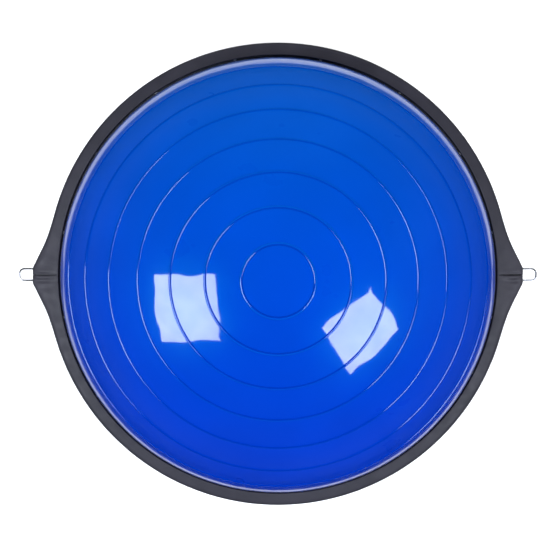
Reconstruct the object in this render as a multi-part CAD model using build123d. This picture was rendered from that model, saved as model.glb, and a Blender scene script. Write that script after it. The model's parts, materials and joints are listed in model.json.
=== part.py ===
"""Balance dome trainer: an inflated half ball clamped to a round two-shell platform.

Row frame, millimetres: origin on the floor under the dome's axis, +Z up, +X towards the right-hand
band loop, +Y towards the rear rim strip. The platform's two shells meet at PARTING and trap the feet
of the wire loops. The dome's flange lies on the upper shell under a segmented clamp ring, and two
rubber rim strips wrap the platform's edge and butt together at the two ears.
"""

import os
from math import asin, atan2, cos, degrees, hypot, radians, sin, tan

from build123d import *

# Overall size
RIM_RADIUS = 290.0          # outer edge of the rubber rim
TOTAL_HEIGHT = 250.0        # floor to the top of the inflated dome
EAR_REACH = 308.0           # centre to the blunt tip of an ear
LOOP_REACH = 327.5          # centre to the outside of a wire loop

# Levels above the floor
RIM_BOTTOM = 1.5
DECK_BOTTOM = 2.5
CORE_BOTTOM = 5.0           # the platform's underside where the rim's lower lip covers it
PARTING = 24.0              # where the platform's two shells meet
TRAY_TOP = 38.0
FLANGE_TOP = 41.0
CLAMP_TOP = 44.0
RIM_TOP = 49.5
WIDEST = 60.0               # height at which the dome is widest

# Rim strip
RUBBER_WALL = 4.5
UPPER_LIP_RADIUS = 273.5
LOWER_LIP_RADIUS = 266.0
TOP_SLOPE = 0.25            # fall of the rim's top face, per unit of radius
BOTTOM_SLOPE = 0.27         # rise of the underside outside BOTTOM_BREAK
BOTTOM_BREAK = 284.0
RIM_EDGE_FILLET = 4.5
EAR_TIP_HALF_WIDTH = 10.7
EAR_FLANK_ANGLE = 26.8      # a flank's angle to the ear's blunt tip, degrees
EAR_TIP_FILLET = 7.0
EAR_ROOT_FILLET = 180.0

# Dome
DOME_RADIUS = 269.0
SHOULDER_RADIUS = 155.0     # radius of the dome's side in section, above its widest point
DOME_WALL = 3.0
DOME_FOOT_RADIUS = 264.0    # where the dome's side meets its flange
STACK_RADIUS = 281.3        # inside of the tray's upstand, round the flange and clamp ring
FLANGE_RADIUS = 281.0
RIDGE_COUNT = 7
RIDGE_PITCH = 41.9          # spacing of the ridges along the dome's surface
RIDGE_RADIUS = 1.5
RIDGE_SINK = 0.6            # depth of a ridge's centre below the dome's surface

# Platform shells
SHELL_WALL = 4.0
INSIDE_RADIUS = RIM_RADIUS - RUBBER_WALL - SHELL_WALL
FIT_GAP = 0.3               # between curved faces of pieces that don't press together
FACE_RADIUS = LOWER_LIP_RADIUS - FIT_GAP
PLATE = 3.5
DECK_TOP = DECK_BOTTOM + PLATE
RIB = 2.5
SPOKES = 16
RING_RIB_RADII = (120.0, 188.0)
TREAD_RADII = (48.0, 96.0, 120.0, 144.0, 168.0)
TREAD_WIDTH = 3.0
TREAD_HEIGHT = 0.8
WELL_RADIUS = 22.0
CUP_RADIUS = WELL_RADIUS + RIB
BOSS_RADIUS = 5.5
DECK_BOSS_RADIUS = 7.5      # the lower shell's short bosses round its screw holes

# Finger pockets under the two ears
POCKET_INNER = 222.0
POCKET_OUTER = 259.0
POCKET_HALF_WIDTH = 50.0
POCKET_CEILING = 20.0
POCKET_CORNER = 9.0
POCKET_LIP = 1.5

# Wire loops
WIRE_RADIUS = 1.2
LOOP_PITCH = 14.7           # spacing of a loop's two legs
LOOP_PIVOT = 296.0          # distance of the pivot axis from the dome's axis
LOOP_FOOT_REACH = 17.0
LOOP_SWING = 35.0           # degrees, up from where the loop rests
FOOT_BEND = 3.0
END_BEND = 6.0
PIVOT_CLEARANCE = 0.08
LEG_CLEARANCE = 0.4

# Screws
SCREW_TIP = 1.5             # length of a shank's pointed end
RECESS_WIDTH = 0.9          # one arm of the driver's cross
RECESS_DEPTH = 1.25
SHANK_RADIUS = 1.95
THREAD_CLEARANCE = 0.05
HOLE_RADIUS = 2.25
PAN_HEAD_RADIUS = 4.0
PAN_HEAD_HEIGHT = 2.6
PAN_SEAT = 7.0
BOSS_TOP = 10.5
PAN_SHANK = 25.0
CLAMP_SCREWS = 16
CLAMP_SCREW_RADIUS = 276.3
CLAMP_SHANK = 13.0
CLAMP_BOSS_FLOOR = 3.0      # boss below a clamp screw's tip
CLAMP_HEAD_RADIUS = 3.6
CLAMP_HEAD_HEIGHT = 2.2
CLAMP_INNER = 266.2
CLAMP_GAP = 1.0
OUTER_SCREW_RADIUS = 238.0
INNER_SCREW_RADIUS = 72.0
EAR_SCREW_PLACE = (287.0, 26.0)
EAR_SCREW_SEAT = 10.0
EAR_SCREW_SHANK = 24.0

# Floor pads
PAD_COUNT = 8
PAD_CIRCLE = 203.0
PAD_RADIUS = 19.0
PAD_SEAT = 1.0
PAD_EDGE = 0.8

# Valve
VALVE_BORE = 4.05
PLUG_SHAFT = 4.0
VALVE_TUBE_RADIUS = 7.5
VALVE_TUBE_BOTTOM = 29.0
VALVE_FLANGE_RADIUS = 18.0
VALVE_FLANGE = 2.0
PLUG_HEAD_RADIUS = 9.0
PLUG_HEAD = 2.6
PLUG_DEPTH = 13.0
PLUG_TAB_WIDTH = 2.4

FAR = 330.0                 # beyond every part of the platform
OVERSHOOT = 1.0             # how far a cut runs past the face that it opens


def around(count, radius, start=0.0):
    """Places evenly spaced on a circle about the dome's axis, as (x, y)."""
    angles = [radians(start + 360.0 * k / count) for k in range(count)]
    return [(radius * cos(a), radius * sin(a)) for a in angles]


def spin(*points):
    """The solid of revolution of a polygon of (radius, height) points."""
    return revolve(Plane.XZ * make_face(Polyline(*points, close=True)), Axis.Z)


def tube(outer, inner, low, high):
    """A ring about the dome's axis between two heights."""
    return spin((inner, low), (outer, low), (outer, high), (inner, high))


def post(x, y, radius, low, high):
    """An upright cylinder between two heights."""
    return Pos(x, y, (low + high) / 2) * Cylinder(radius, high - low)


def block(x_range, y_range, z_range):
    """A box from its ranges along the three axes."""
    ranges = (x_range, y_range, z_range)
    centre = [(low + high) / 2 for low, high in ranges]
    return Pos(*centre) * Box(*[high - low for low, high in ranges])


def plan_outline(inset):
    """The platform's outline from above: a disc with two blunt ears, moved in by inset."""
    flank_run = EAR_REACH - RIM_RADIUS * 0.9
    root_half_width = EAR_TIP_HALF_WIDTH + flank_run / tan(radians(EAR_FLANK_ANGLE))
    ear = Polygon(
        (EAR_REACH, -EAR_TIP_HALF_WIDTH), (EAR_REACH, EAR_TIP_HALF_WIDTH),
        (EAR_REACH - flank_run, root_half_width), (EAR_REACH - flank_run, -root_half_width),
        align=None)
    shape = Circle(RIM_RADIUS) + ear + Rot(0, 0, 180) * ear
    corners = shape.vertices()
    tips = [v for v in corners if abs(v.X) > EAR_REACH - 0.01]
    shape = fillet(tips, EAR_TIP_FILLET)
    roots = [v for v in shape.vertices()
             if abs(hypot(v.X, v.Y) - RIM_RADIUS) < 0.01 and abs(v.Y) > 2 * EAR_TIP_HALF_WIDTH]
    shape = fillet(roots, EAR_ROOT_FILLET)
    return offset(shape, -inset) if inset else shape


def envelope(bottom, top, top_radius):
    """The space between the underside's surface and the sloping top surface."""
    return spin(
        (0, bottom), (BOTTOM_BREAK, bottom), (FAR, bottom + BOTTOM_SLOPE * (FAR - BOTTOM_BREAK)),
        (FAR, top - TOP_SLOPE * (FAR - top_radius)), (0, top + TOP_SLOPE * top_radius))


def platform_core():
    """The solid outline of the closed platform, which the rim strips wrap."""
    plan = extrude(plan_outline(RUBBER_WALL), TOTAL_HEIGHT)
    return plan & envelope(CORE_BOTTOM, CLAMP_TOP, STACK_RADIUS)


def ears(piece):
    """A piece made for the right-hand ear, and its twin on the left."""
    return [piece, Rot(0, 0, 180) * piece]


def ear_screw_places():
    """Where the two screws of each ear go."""
    x, y = EAR_SCREW_PLACE
    return [(sx * x, sy * y) for sx in (1, -1) for sy in (1, -1)]


def deck_screw_places():
    """Where the screws that join the two shells go, away from the ears."""
    return around(8, OUTER_SCREW_RADIUS, 22.5) + around(6, INNER_SCREW_RADIUS, 30.0)


def loop_path():
    """The centre line of the right-hand wire loop, foot to foot."""
    half = LOOP_PITCH / 2
    end = LOOP_REACH - WIRE_RADIUS
    points = [(LOOP_PIVOT, LOOP_FOOT_REACH), (LOOP_PIVOT, half), (end, half),
              (end, -half), (LOOP_PIVOT, -half), (LOOP_PIVOT, -LOOP_FOOT_REACH)]
    return FilletPolyline(*[(x, y, PARTING) for x, y in points],
                          radius=[FOOT_BEND, END_BEND, END_BEND, FOOT_BEND])


def band_loop():
    """The right-hand wire loop."""
    path = loop_path()
    section = Plane(path @ 0, z_dir=path % 0) * Circle(WIRE_RADIUS)
    return sweep(section, path)


def loop_room():
    """The space that the right-hand loop needs in the ear: a bearing along its feet, and for each leg
    a slot from where the leg rests up to the end of its swing."""
    feet = Pos(LOOP_PIVOT, 0, PARTING) * Rot(90, 0, 0) * Cylinder(
        WIRE_RADIUS + PIVOT_CLEARANCE, 2 * (LOOP_FOOT_REACH + PIVOT_CLEARANCE))
    turn = radians(LOOP_SWING)
    low = PARTING - WIRE_RADIUS - LEG_CLEARANCE
    high = PARTING + (EAR_REACH - LOOP_PIVOT) * tan(turn) + WIRE_RADIUS / cos(turn) + LEG_CLEARANCE
    inner = LOOP_PITCH / 2 - WIRE_RADIUS - LEG_CLEARANCE
    outer = LOOP_PITCH / 2 + WIRE_RADIUS + LEG_CLEARANCE
    bend = LOOP_PIVOT + FOOT_BEND + WIRE_RADIUS
    slot = block((bend, FAR), (inner, outer), (low, high))
    slot += block((LOOP_PIVOT - WIRE_RADIUS - PIVOT_CLEARANCE, bend),
                  (inner, LOOP_PITCH / 2 + FOOT_BEND + LEG_CLEARANCE), (low, high))
    return feet + slot + mirror(slot, Plane.XZ)


def dome_arcs():
    """The dome's two tangent arcs, cap and shoulder: the cap's radius, and where the arcs meet as
    an angle above the horizontal."""
    reach = DOME_RADIUS - SHOULDER_RADIUS
    rise = TOTAL_HEIGHT - WIDEST
    cap = (reach ** 2 + rise ** 2 - SHOULDER_RADIUS ** 2) / (2 * (rise - SHOULDER_RADIUS))
    return cap, degrees(atan2(cap - rise, reach))


def dome_side(inset=0.0):
    """The dome's section from its widest point up to the apex, in (radius, height)."""
    cap, meet = dome_arcs()
    shoulder = CenterArc((DOME_RADIUS - SHOULDER_RADIUS, WIDEST), SHOULDER_RADIUS - inset, 0, meet)
    return Curve() + [shoulder, CenterArc((0, TOTAL_HEIGHT - cap), cap - inset, meet, 90 - meet)]


def ridge_centres():
    """Centres of the ridges' round sections, spaced evenly along the dome from its apex."""
    cap, meet = dome_arcs()
    cap_length = radians(90 - meet) * cap
    places = []
    for n in range(1, RIDGE_COUNT + 1):
        along = n * RIDGE_PITCH
        on_cap = along < cap_length
        tilt = along / cap if on_cap else radians(90 - meet) + (along - cap_length) / SHOULDER_RADIUS
        radius = (cap if on_cap else SHOULDER_RADIUS) - RIDGE_SINK
        x, z = (0, TOTAL_HEIGHT - cap) if on_cap else (DOME_RADIUS - SHOULDER_RADIUS, WIDEST)
        places.append((x + radius * sin(tilt), z + radius * cos(tilt)))
    return places


def half_section(inset):
    """Half the dome's section above its base, moved in by inset, in (radius, height)."""
    drop = WIDEST - FLANGE_TOP
    bulge = DOME_RADIUS - DOME_FOOT_RADIUS
    bend = (drop ** 2 + bulge ** 2) / (2 * bulge)
    below = degrees(asin(drop / (bend - inset)))
    lower = CenterArc((DOME_RADIUS - bend, WIDEST), bend - inset, -below, below)
    axis_top = (0, TOTAL_HEIGHT - inset)
    floor = Polyline(axis_top, (0, FLANGE_TOP), lower @ 0)
    return make_face(Curve() + [lower, dome_side(inset), floor])


def dome_bladder():
    """The inflated dome: a closed shell with a flat base, ridges and a clamping flange."""
    outer = half_section(0)
    outer += make_face(Polyline((0, TRAY_TOP), (FLANGE_RADIUS, TRAY_TOP),
                                (FLANGE_RADIUS, FLANGE_TOP), (0, FLANGE_TOP), close=True))
    for centre in ridge_centres():
        outer += Pos(*centre) * Circle(RIDGE_RADIUS)
    shell = revolve(Plane.XZ * (outer - half_section(DOME_WALL)), Axis.Z)
    shell -= post(0, 0, VALVE_TUBE_RADIUS, TRAY_TOP - OVERSHOOT, FLANGE_TOP + OVERSHOOT)
    for x, y in clamp_screw_places():
        shell -= post(x, y, HOLE_RADIUS, TRAY_TOP - OVERSHOOT, FLANGE_TOP + OVERSHOOT)
    return shell


def valve_seat():
    """The soft valve bonded into the dome's base: an inner flange and a tube through the platform."""
    return spin((VALVE_BORE, VALVE_TUBE_BOTTOM), (VALVE_TUBE_RADIUS, VALVE_TUBE_BOTTOM),
                (VALVE_TUBE_RADIUS, FLANGE_TOP), (VALVE_FLANGE_RADIUS, FLANGE_TOP),
                (VALVE_FLANGE_RADIUS, FLANGE_TOP + VALVE_FLANGE),
                (VALVE_BORE, FLANGE_TOP + VALVE_FLANGE))


def valve_plug():
    """The pull-out stopper: a shaft in the valve, a round head and a tab to hold it by."""
    head_bottom = VALVE_TUBE_BOTTOM - PLUG_HEAD
    top = VALVE_TUBE_BOTTOM + PLUG_DEPTH
    plug = spin((0, head_bottom), (PLUG_HEAD_RADIUS, head_bottom),
                (PLUG_HEAD_RADIUS, VALVE_TUBE_BOTTOM), (PLUG_SHAFT, VALVE_TUBE_BOTTOM),
                (PLUG_SHAFT, top - PLUG_SHAFT / 2), (PLUG_SHAFT * 0.7, top), (0, top))
    rim = plug.edges().filter_by(GeomType.CIRCLE).filter_by(
        lambda e: abs(e.radius - PLUG_HEAD_RADIUS) < 0.01)
    plug = fillet(rim, PLUG_HEAD / 3)
    tab = Plane.XZ * (Pos(0, head_bottom) * SlotOverall(PLUG_HEAD_RADIUS, PLUG_HEAD_RADIUS * 0.6))
    return plug + extrude(tab, PLUG_TAB_WIDTH / 2, both=True)


def clamp_screw_places():
    """Where the clamp ring's screws go: evenly, and clear of the joints between its segments."""
    return around(CLAMP_SCREWS, CLAMP_SCREW_RADIUS, 180.0 / CLAMP_SCREWS)


def clamp_ring():
    """The whole clamp ring, with its countersunk holes."""
    ring = tube(FLANGE_RADIUS, CLAMP_INNER, FLANGE_TOP, CLAMP_TOP)
    for x, y in clamp_screw_places():
        ring -= post(x, y, HOLE_RADIUS, FLANGE_TOP - OVERSHOOT, CLAMP_TOP + OVERSHOOT)
        ring -= Pos(x, y, CLAMP_TOP - CLAMP_HEAD_HEIGHT / 2) * Cone(
            SHANK_RADIUS, CLAMP_HEAD_RADIUS, CLAMP_HEAD_HEIGHT)
    return ring


def clamp_segments():
    """The clamp ring as it is fitted: four equal arcs with a small gap between them."""
    ring = clamp_ring()
    gap = Box(2 * FAR, CLAMP_GAP, 2 * CLAMP_TOP)
    for turn in (45, 135):
        ring -= Rot(0, 0, turn) * gap
    return sorted(ring.solids(), key=lambda s: -s.center().Y * 2 - s.center().X)


def cross_recess(top):
    """The two arms of the driver's cross, cut down into a screw's head from the given height."""
    arm = PAN_HEAD_RADIUS + RECESS_WIDTH / 2
    return [block((-a / 2, a / 2), (-b / 2, b / 2), (top - RECESS_DEPTH, top + OVERSHOOT))
            for a, b in ((arm, RECESS_WIDTH), (RECESS_WIDTH, arm))]


def clamp_screw():
    """One countersunk screw at the origin's axis, head up."""
    screw = spin((0, CLAMP_TOP - CLAMP_SHANK), (SHANK_RADIUS, CLAMP_TOP - CLAMP_SHANK + SCREW_TIP),
                 (SHANK_RADIUS, CLAMP_TOP - CLAMP_HEAD_HEIGHT), (CLAMP_HEAD_RADIUS, CLAMP_TOP),
                 (0, CLAMP_TOP))
    for cut in cross_recess(CLAMP_TOP):
        screw -= cut
    return screw


def pan_screw(seat, shank):
    """One pan-head screw at the origin's axis, head down, its head's upper face at seat."""
    low = seat - PAN_HEAD_HEIGHT
    screw = spin((0, low), (PAN_HEAD_RADIUS, low), (PAN_HEAD_RADIUS, seat), (SHANK_RADIUS, seat),
                 (SHANK_RADIUS, seat + shank - SCREW_TIP), (0, seat + shank))
    crown = screw.edges().filter_by(GeomType.CIRCLE).sort_by(Axis.Z)[0]
    screw = fillet(crown, PAN_HEAD_HEIGHT / 2)
    for cut in cross_recess(low):
        screw -= mirror(cut, Plane.XY.offset(low))
    return screw


def group(piece, places):
    """Copies of one fastener at several places, as one node of separate solids."""
    return Compound(children=[Pos(x, y, 0) * piece for x, y in places])


def ribs():
    """The upper shell's ribs, spokes and rings, which reach down to just above the lower shell."""
    low, high = DECK_TOP + FIT_GAP, TRAY_TOP - PLATE / 2
    reach = (CUP_RADIUS + FIT_GAP, RIM_RADIUS - RUBBER_WALL - SHELL_WALL / 2)
    spoke = block(reach, (-RIB / 2, RIB / 2), (low, high))
    parts = [Rot(0, 0, 360 * (k + 0.5) / SPOKES) * spoke for k in range(SPOKES)]
    return parts + [tube(r + RIB / 2, r - RIB / 2, low, high) for r in RING_RIB_RADII]


def deck_room():
    """The space inside the platform that the lower shell and its inserts take from the ribs."""
    rooms = [tube(FAR, FACE_RADIUS - SHELL_WALL - FIT_GAP, 0, CORE_BOTTOM + PLATE + FIT_GAP),
             tube(FAR, INSIDE_RADIUS - FIT_GAP, 0, PARTING)]
    rooms += ears(finger_pocket(RIB + FIT_GAP, POCKET_CEILING + RIB + FIT_GAP))
    rooms += [post(x, y, DECK_BOSS_RADIUS + FIT_GAP, 0, BOSS_TOP + FIT_GAP)
              for x, y in deck_screw_places()]
    return rooms


def base_tray(core):
    """The platform's upper shell, which carries the dome and holds every screw."""
    tray = core & block((-FAR, FAR), (-FAR, FAR), (PARTING, TOTAL_HEIGHT))
    tray -= post(0, 0, INSIDE_RADIUS, PARTING - OVERSHOOT, TRAY_TOP - PLATE)
    tray -= post(0, 0, STACK_RADIUS, TRAY_TOP, TOTAL_HEIGHT)
    inner = tube(CUP_RADIUS + FIT_GAP + RIB, CUP_RADIUS + FIT_GAP, DECK_TOP + FIT_GAP,
                 TRAY_TOP - PLATE / 2)
    for rib in ribs():
        inner += rib
    for x, y in deck_screw_places():
        inner += post(x, y, BOSS_RADIUS, BOSS_TOP + FIT_GAP, TRAY_TOP - PLATE / 2)
    for room in deck_room():
        inner -= room
    tray += inner
    for x, y in clamp_screw_places():
        tray += post(x, y, BOSS_RADIUS, CLAMP_TOP - CLAMP_SHANK - CLAMP_BOSS_FLOOR, TRAY_TOP - PLATE / 2)
    tray -= post(0, 0, CUP_RADIUS + FIT_GAP, 0, TOTAL_HEIGHT)
    pilot = SHANK_RADIUS + THREAD_CLEARANCE
    for x, y in deck_screw_places():
        tray -= post(x, y, pilot, BOSS_TOP, PAN_SEAT + PAN_SHANK + OVERSHOOT)
    for x, y in ear_screw_places():
        tray -= post(x, y, pilot, PARTING - OVERSHOOT,
                     EAR_SCREW_SEAT + EAR_SCREW_SHANK + OVERSHOOT)
    for x, y in clamp_screw_places():
        tray -= post(x, y, pilot, CLAMP_TOP - CLAMP_SHANK - OVERSHOOT, TRAY_TOP + OVERSHOOT)
    for room in ears(loop_room()):
        tray -= room
    return tray


def finger_pocket(grow, ceiling, floor=0.0):
    """The right-hand finger pocket's space, or its outside when grown by a wall."""
    width = POCKET_OUTER - POCKET_INNER + 2 * grow
    plan = RectangleRounded(width, 2 * (POCKET_HALF_WIDTH + grow), POCKET_CORNER + grow)
    middle = (POCKET_OUTER + POCKET_INNER) / 2
    return extrude(Pos(middle, 0, floor) * plan, ceiling - floor)


def finger_cup():
    """The right-hand finger pocket's insert: an open box with an eased mouth."""
    cup = finger_pocket(RIB, POCKET_CEILING + RIB, DECK_BOTTOM)
    cup -= finger_pocket(0, POCKET_CEILING)
    mouth = cup.faces().sort_by(Axis.Z)[0].inner_wires()[0].edges()
    return fillet(mouth, POCKET_LIP)


def valve_cup():
    """The insert that lines the valve's well, from the standing face up to the dome's base."""
    cup = tube(CUP_RADIUS, WELL_RADIUS, DECK_BOTTOM, TRAY_TOP - FIT_GAP)
    mouth = cup.edges().filter_by(GeomType.CIRCLE).group_by(Axis.Z)[0].sort_by(SortBy.RADIUS)[0]
    return fillet(mouth, POCKET_LIP / 2)


def base_deck(core):
    """The platform's lower shell: the standing face, with its treads, and the outer wall."""
    deck = core & block((-FAR, FAR), (-FAR, FAR), (0, PARTING))
    deck -= post(0, 0, INSIDE_RADIUS, CORE_BOTTOM + PLATE, PARTING + OVERSHOOT)
    deck += post(0, 0, FACE_RADIUS, DECK_BOTTOM, CORE_BOTTOM + PLATE)
    deck -= post(0, 0, FACE_RADIUS - SHELL_WALL, DECK_TOP, PARTING + OVERSHOOT)
    for radius in TREAD_RADII:
        deck += tube(radius + TREAD_WIDTH / 2, radius - TREAD_WIDTH / 2,
                     DECK_BOTTOM - TREAD_HEIGHT, DECK_BOTTOM + PLATE / 2)
    for x, y in deck_screw_places():
        deck += post(x, y, DECK_BOSS_RADIUS, DECK_BOTTOM + PLATE / 2, BOSS_TOP)
    for pocket in ears(finger_pocket(RIB, PARTING)):
        deck -= pocket
    deck -= post(0, 0, CUP_RADIUS, 0, PARTING)
    for x, y in deck_screw_places():
        deck -= post(x, y, PAN_HEAD_RADIUS + LEG_CLEARANCE, 0, PAN_SEAT)
        deck -= post(x, y, HOLE_RADIUS, 0, BOSS_TOP + OVERSHOOT)
    for x, y in ear_screw_places():
        deck -= post(x, y, PAN_HEAD_RADIUS + LEG_CLEARANCE, 0, EAR_SCREW_SEAT)
        deck -= post(x, y, HOLE_RADIUS, 0, PARTING + OVERSHOOT)
    for x, y in around(PAD_COUNT, PAD_CIRCLE, 180.0 / PAD_COUNT):
        deck -= post(x, y, PAD_RADIUS, 0, DECK_BOTTOM + PAD_SEAT)
    for room in ears(loop_room()):
        deck -= room
    return deck


def rim_strips(core):
    """The two rubber strips, rear and front, that wrap the platform's edge and meet at the ears."""
    body = extrude(plan_outline(0), TOTAL_HEIGHT) & envelope(RIM_BOTTOM, RIM_TOP, UPPER_LIP_RADIUS)
    outer = [e for e in body.edges() if e.bounding_box().size.Z < PARTING / 2]
    body = fillet(outer, RIM_EDGE_FILLET)
    body -= core
    body -= post(0, 0, STACK_RADIUS, PARTING, CLAMP_TOP)
    body -= post(0, 0, UPPER_LIP_RADIUS, PARTING, TOTAL_HEIGHT)
    body -= post(0, 0, LOWER_LIP_RADIUS, 0, PARTING)
    for room in ears(loop_room()):
        body -= room
    halves = []
    for low, high in ((0, FAR), (-FAR, 0)):
        halves.append(body & block((-FAR, FAR), (low, high), (0, TOTAL_HEIGHT)))
    return halves


def floor_pad():
    """One round rubber pad, with its lower edge eased."""
    pad = post(0, 0, PAD_RADIUS, 0, DECK_BOTTOM + PAD_SEAT)
    return fillet(pad.edges().group_by(Axis.Z)[0], PAD_EDGE)


def build():
    """Every node of the trainer, by name."""
    core = platform_core()
    rear, front = rim_strips(core)
    nodes = {
        "dome_bladder": dome_bladder(),
        "valve_seat": valve_seat(),
        "valve_plug": valve_plug(),
        "valve_cup": valve_cup(),
        "base_tray": base_tray(core),
        "base_deck": base_deck(core),
        "rim_strip_rear": rear,
        "rim_strip_front": front,
        "clamp_screws": group(clamp_screw(), clamp_screw_places()),
        "deck_screws": group(pan_screw(PAN_SEAT, PAN_SHANK), deck_screw_places()),
        "ear_screws_right": group(pan_screw(EAR_SCREW_SEAT, EAR_SCREW_SHANK),
                                  ear_screw_places()[:2]),
        "ear_screws_left": group(pan_screw(EAR_SCREW_SEAT, EAR_SCREW_SHANK),
                                 ear_screw_places()[2:]),
    }
    nodes["band_loop_right"], nodes["band_loop_left"] = ears(band_loop())
    nodes["finger_cup_right"], nodes["finger_cup_left"] = ears(finger_cup())
    for side, segment in zip(("rear", "right", "left", "front"), clamp_segments()):
        nodes["clamp_segment_" + side] = segment
    for n, (x, y) in enumerate(around(PAD_COUNT, PAD_CIRCLE, 180.0 / PAD_COUNT), 1):
        nodes[f"floor_pad_{n}"] = Pos(x, y, 0) * floor_pad()
    return nodes


os.makedirs("parts", exist_ok=True)
for name, shape in build().items():
    export_step(shape, f"parts/{name}.step")
    print(name, "volume", round(shape.volume))
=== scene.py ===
# %% [markdown]
# # A balance dome trainer
#
# A half ball of blue vinyl, blown up hard, sits on a flat round platform. A dark rubber rim wraps the
# platform's edge and runs out into two blunt ears, and from each ear stands a wire loop that takes the
# hook of an elastic band. Underneath are a standing face, rubber pads, two finger pockets and a valve.
#
# Everything here is built round a fixed model of the trainer, which says where each piece is and what
# it moves with. The soft and shiny pieces are modelled again in finer detail, and every other piece
# gets a better finish.

# %% Load the fixed model
import json
from math import atan2, cos, exp, hypot, pi, radians, sin, sqrt, tan

import bmesh
import bpy
from mathutils import Matrix, Vector, noise


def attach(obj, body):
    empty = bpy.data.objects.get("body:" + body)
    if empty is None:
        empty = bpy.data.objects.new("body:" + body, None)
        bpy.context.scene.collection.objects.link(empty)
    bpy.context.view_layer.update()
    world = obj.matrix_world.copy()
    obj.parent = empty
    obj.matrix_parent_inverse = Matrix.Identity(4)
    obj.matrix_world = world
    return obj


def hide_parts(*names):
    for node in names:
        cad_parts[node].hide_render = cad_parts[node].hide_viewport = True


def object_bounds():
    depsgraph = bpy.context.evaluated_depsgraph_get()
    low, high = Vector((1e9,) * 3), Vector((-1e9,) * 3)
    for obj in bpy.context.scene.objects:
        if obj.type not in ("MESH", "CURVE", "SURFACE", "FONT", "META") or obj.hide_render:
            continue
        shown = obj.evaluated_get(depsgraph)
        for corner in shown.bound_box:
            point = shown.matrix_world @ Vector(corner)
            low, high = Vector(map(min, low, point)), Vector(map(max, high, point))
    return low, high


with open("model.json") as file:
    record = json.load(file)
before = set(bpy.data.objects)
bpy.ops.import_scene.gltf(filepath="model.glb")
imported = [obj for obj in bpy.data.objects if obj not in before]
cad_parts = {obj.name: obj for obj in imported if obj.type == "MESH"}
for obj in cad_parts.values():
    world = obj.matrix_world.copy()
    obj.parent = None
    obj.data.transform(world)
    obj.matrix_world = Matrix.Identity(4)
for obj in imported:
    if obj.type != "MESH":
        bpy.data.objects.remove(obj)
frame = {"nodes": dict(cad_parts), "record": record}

cad_box = [list(corner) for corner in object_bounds()]
nodes = frame["nodes"]
for plain in list(bpy.data.materials):
    bpy.data.materials.remove(plain)
print("pieces:", len(nodes), "box:", cad_box)

# %% [markdown]
# ## The camera
#
# The trainer is shown from almost straight above, from two metres up, which keeps the dome from
# swelling towards the viewer. The camera stands a little behind the centre and leans back towards it,
# so the rear of the dome is slightly nearer than the front. The lens is a long one, a little over
# 100 mm on a 36 mm sensor.

# %% Place the camera
CAMERA_PLACE = Vector((-0.0051, 0.0654, 2.0))
CAMERA_LEAN = (-0.0334, -0.0008, 0.0)
LENS = 102.38

camera_data = bpy.data.cameras.new("overhead_camera")
camera_data.sensor_width = 36.0
camera_data.lens = LENS
camera = bpy.data.objects.new("overhead_camera", camera_data)
bpy.context.scene.collection.objects.link(camera)
camera.location = CAMERA_PLACE
camera.rotation_euler = CAMERA_LEAN
bpy.context.scene.camera = camera
bpy.context.scene.view_settings.view_transform = "Standard"
print("lens:", round(camera_data.lens, 1), "mm")

# %% [markdown]
# ## Writing shader maths as Python
#
# A finish is a small network of nodes, and its arithmetic is easier to read as an expression than as a
# heap of Math nodes. `Signal` wraps one output socket, and Python's own operators then add the Math
# node that does the work. `Finish` holds one material: its `node` method makes any node from its type,
# its settings and its inputs, and a few short methods give the patterns that most finishes share.

# %% A signal that Python's operators work on
class Signal:
    """An output socket in a finish, which can be added, scaled and raised like a number."""

    def __init__(self, finish, socket):
        self.finish = finish
        self.socket = socket

    def maths(self, operation, *values, clamp=False):
        made = self.finish.node("ShaderNodeMath", {"operation": operation, "use_clamp": clamp},
                                dict(enumerate(values)))
        return Signal(self.finish, made.outputs[0])

    def __add__(self, other):
        return self.maths("ADD", self, other)

    def __sub__(self, other):
        return self.maths("SUBTRACT", self, other)

    def __rsub__(self, other):
        return self.maths("SUBTRACT", other, self)

    def __mul__(self, other):
        return self.maths("MULTIPLY", self, other)

    def __truediv__(self, other):
        return self.maths("DIVIDE", self, other)

    def __pow__(self, other):
        return self.maths("POWER", self, other)

    __radd__ = __add__
    __rmul__ = __mul__

    def magnitude(self):
        return self.maths("ABSOLUTE", self)

    def held(self):
        """The same signal, held between 0 and 1."""
        return self.maths("ADD", self, 0.0, clamp=True)


print("a signal can be:", [word.strip("_") for word in vars(Signal) if callable(getattr(Signal, word))])

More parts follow.
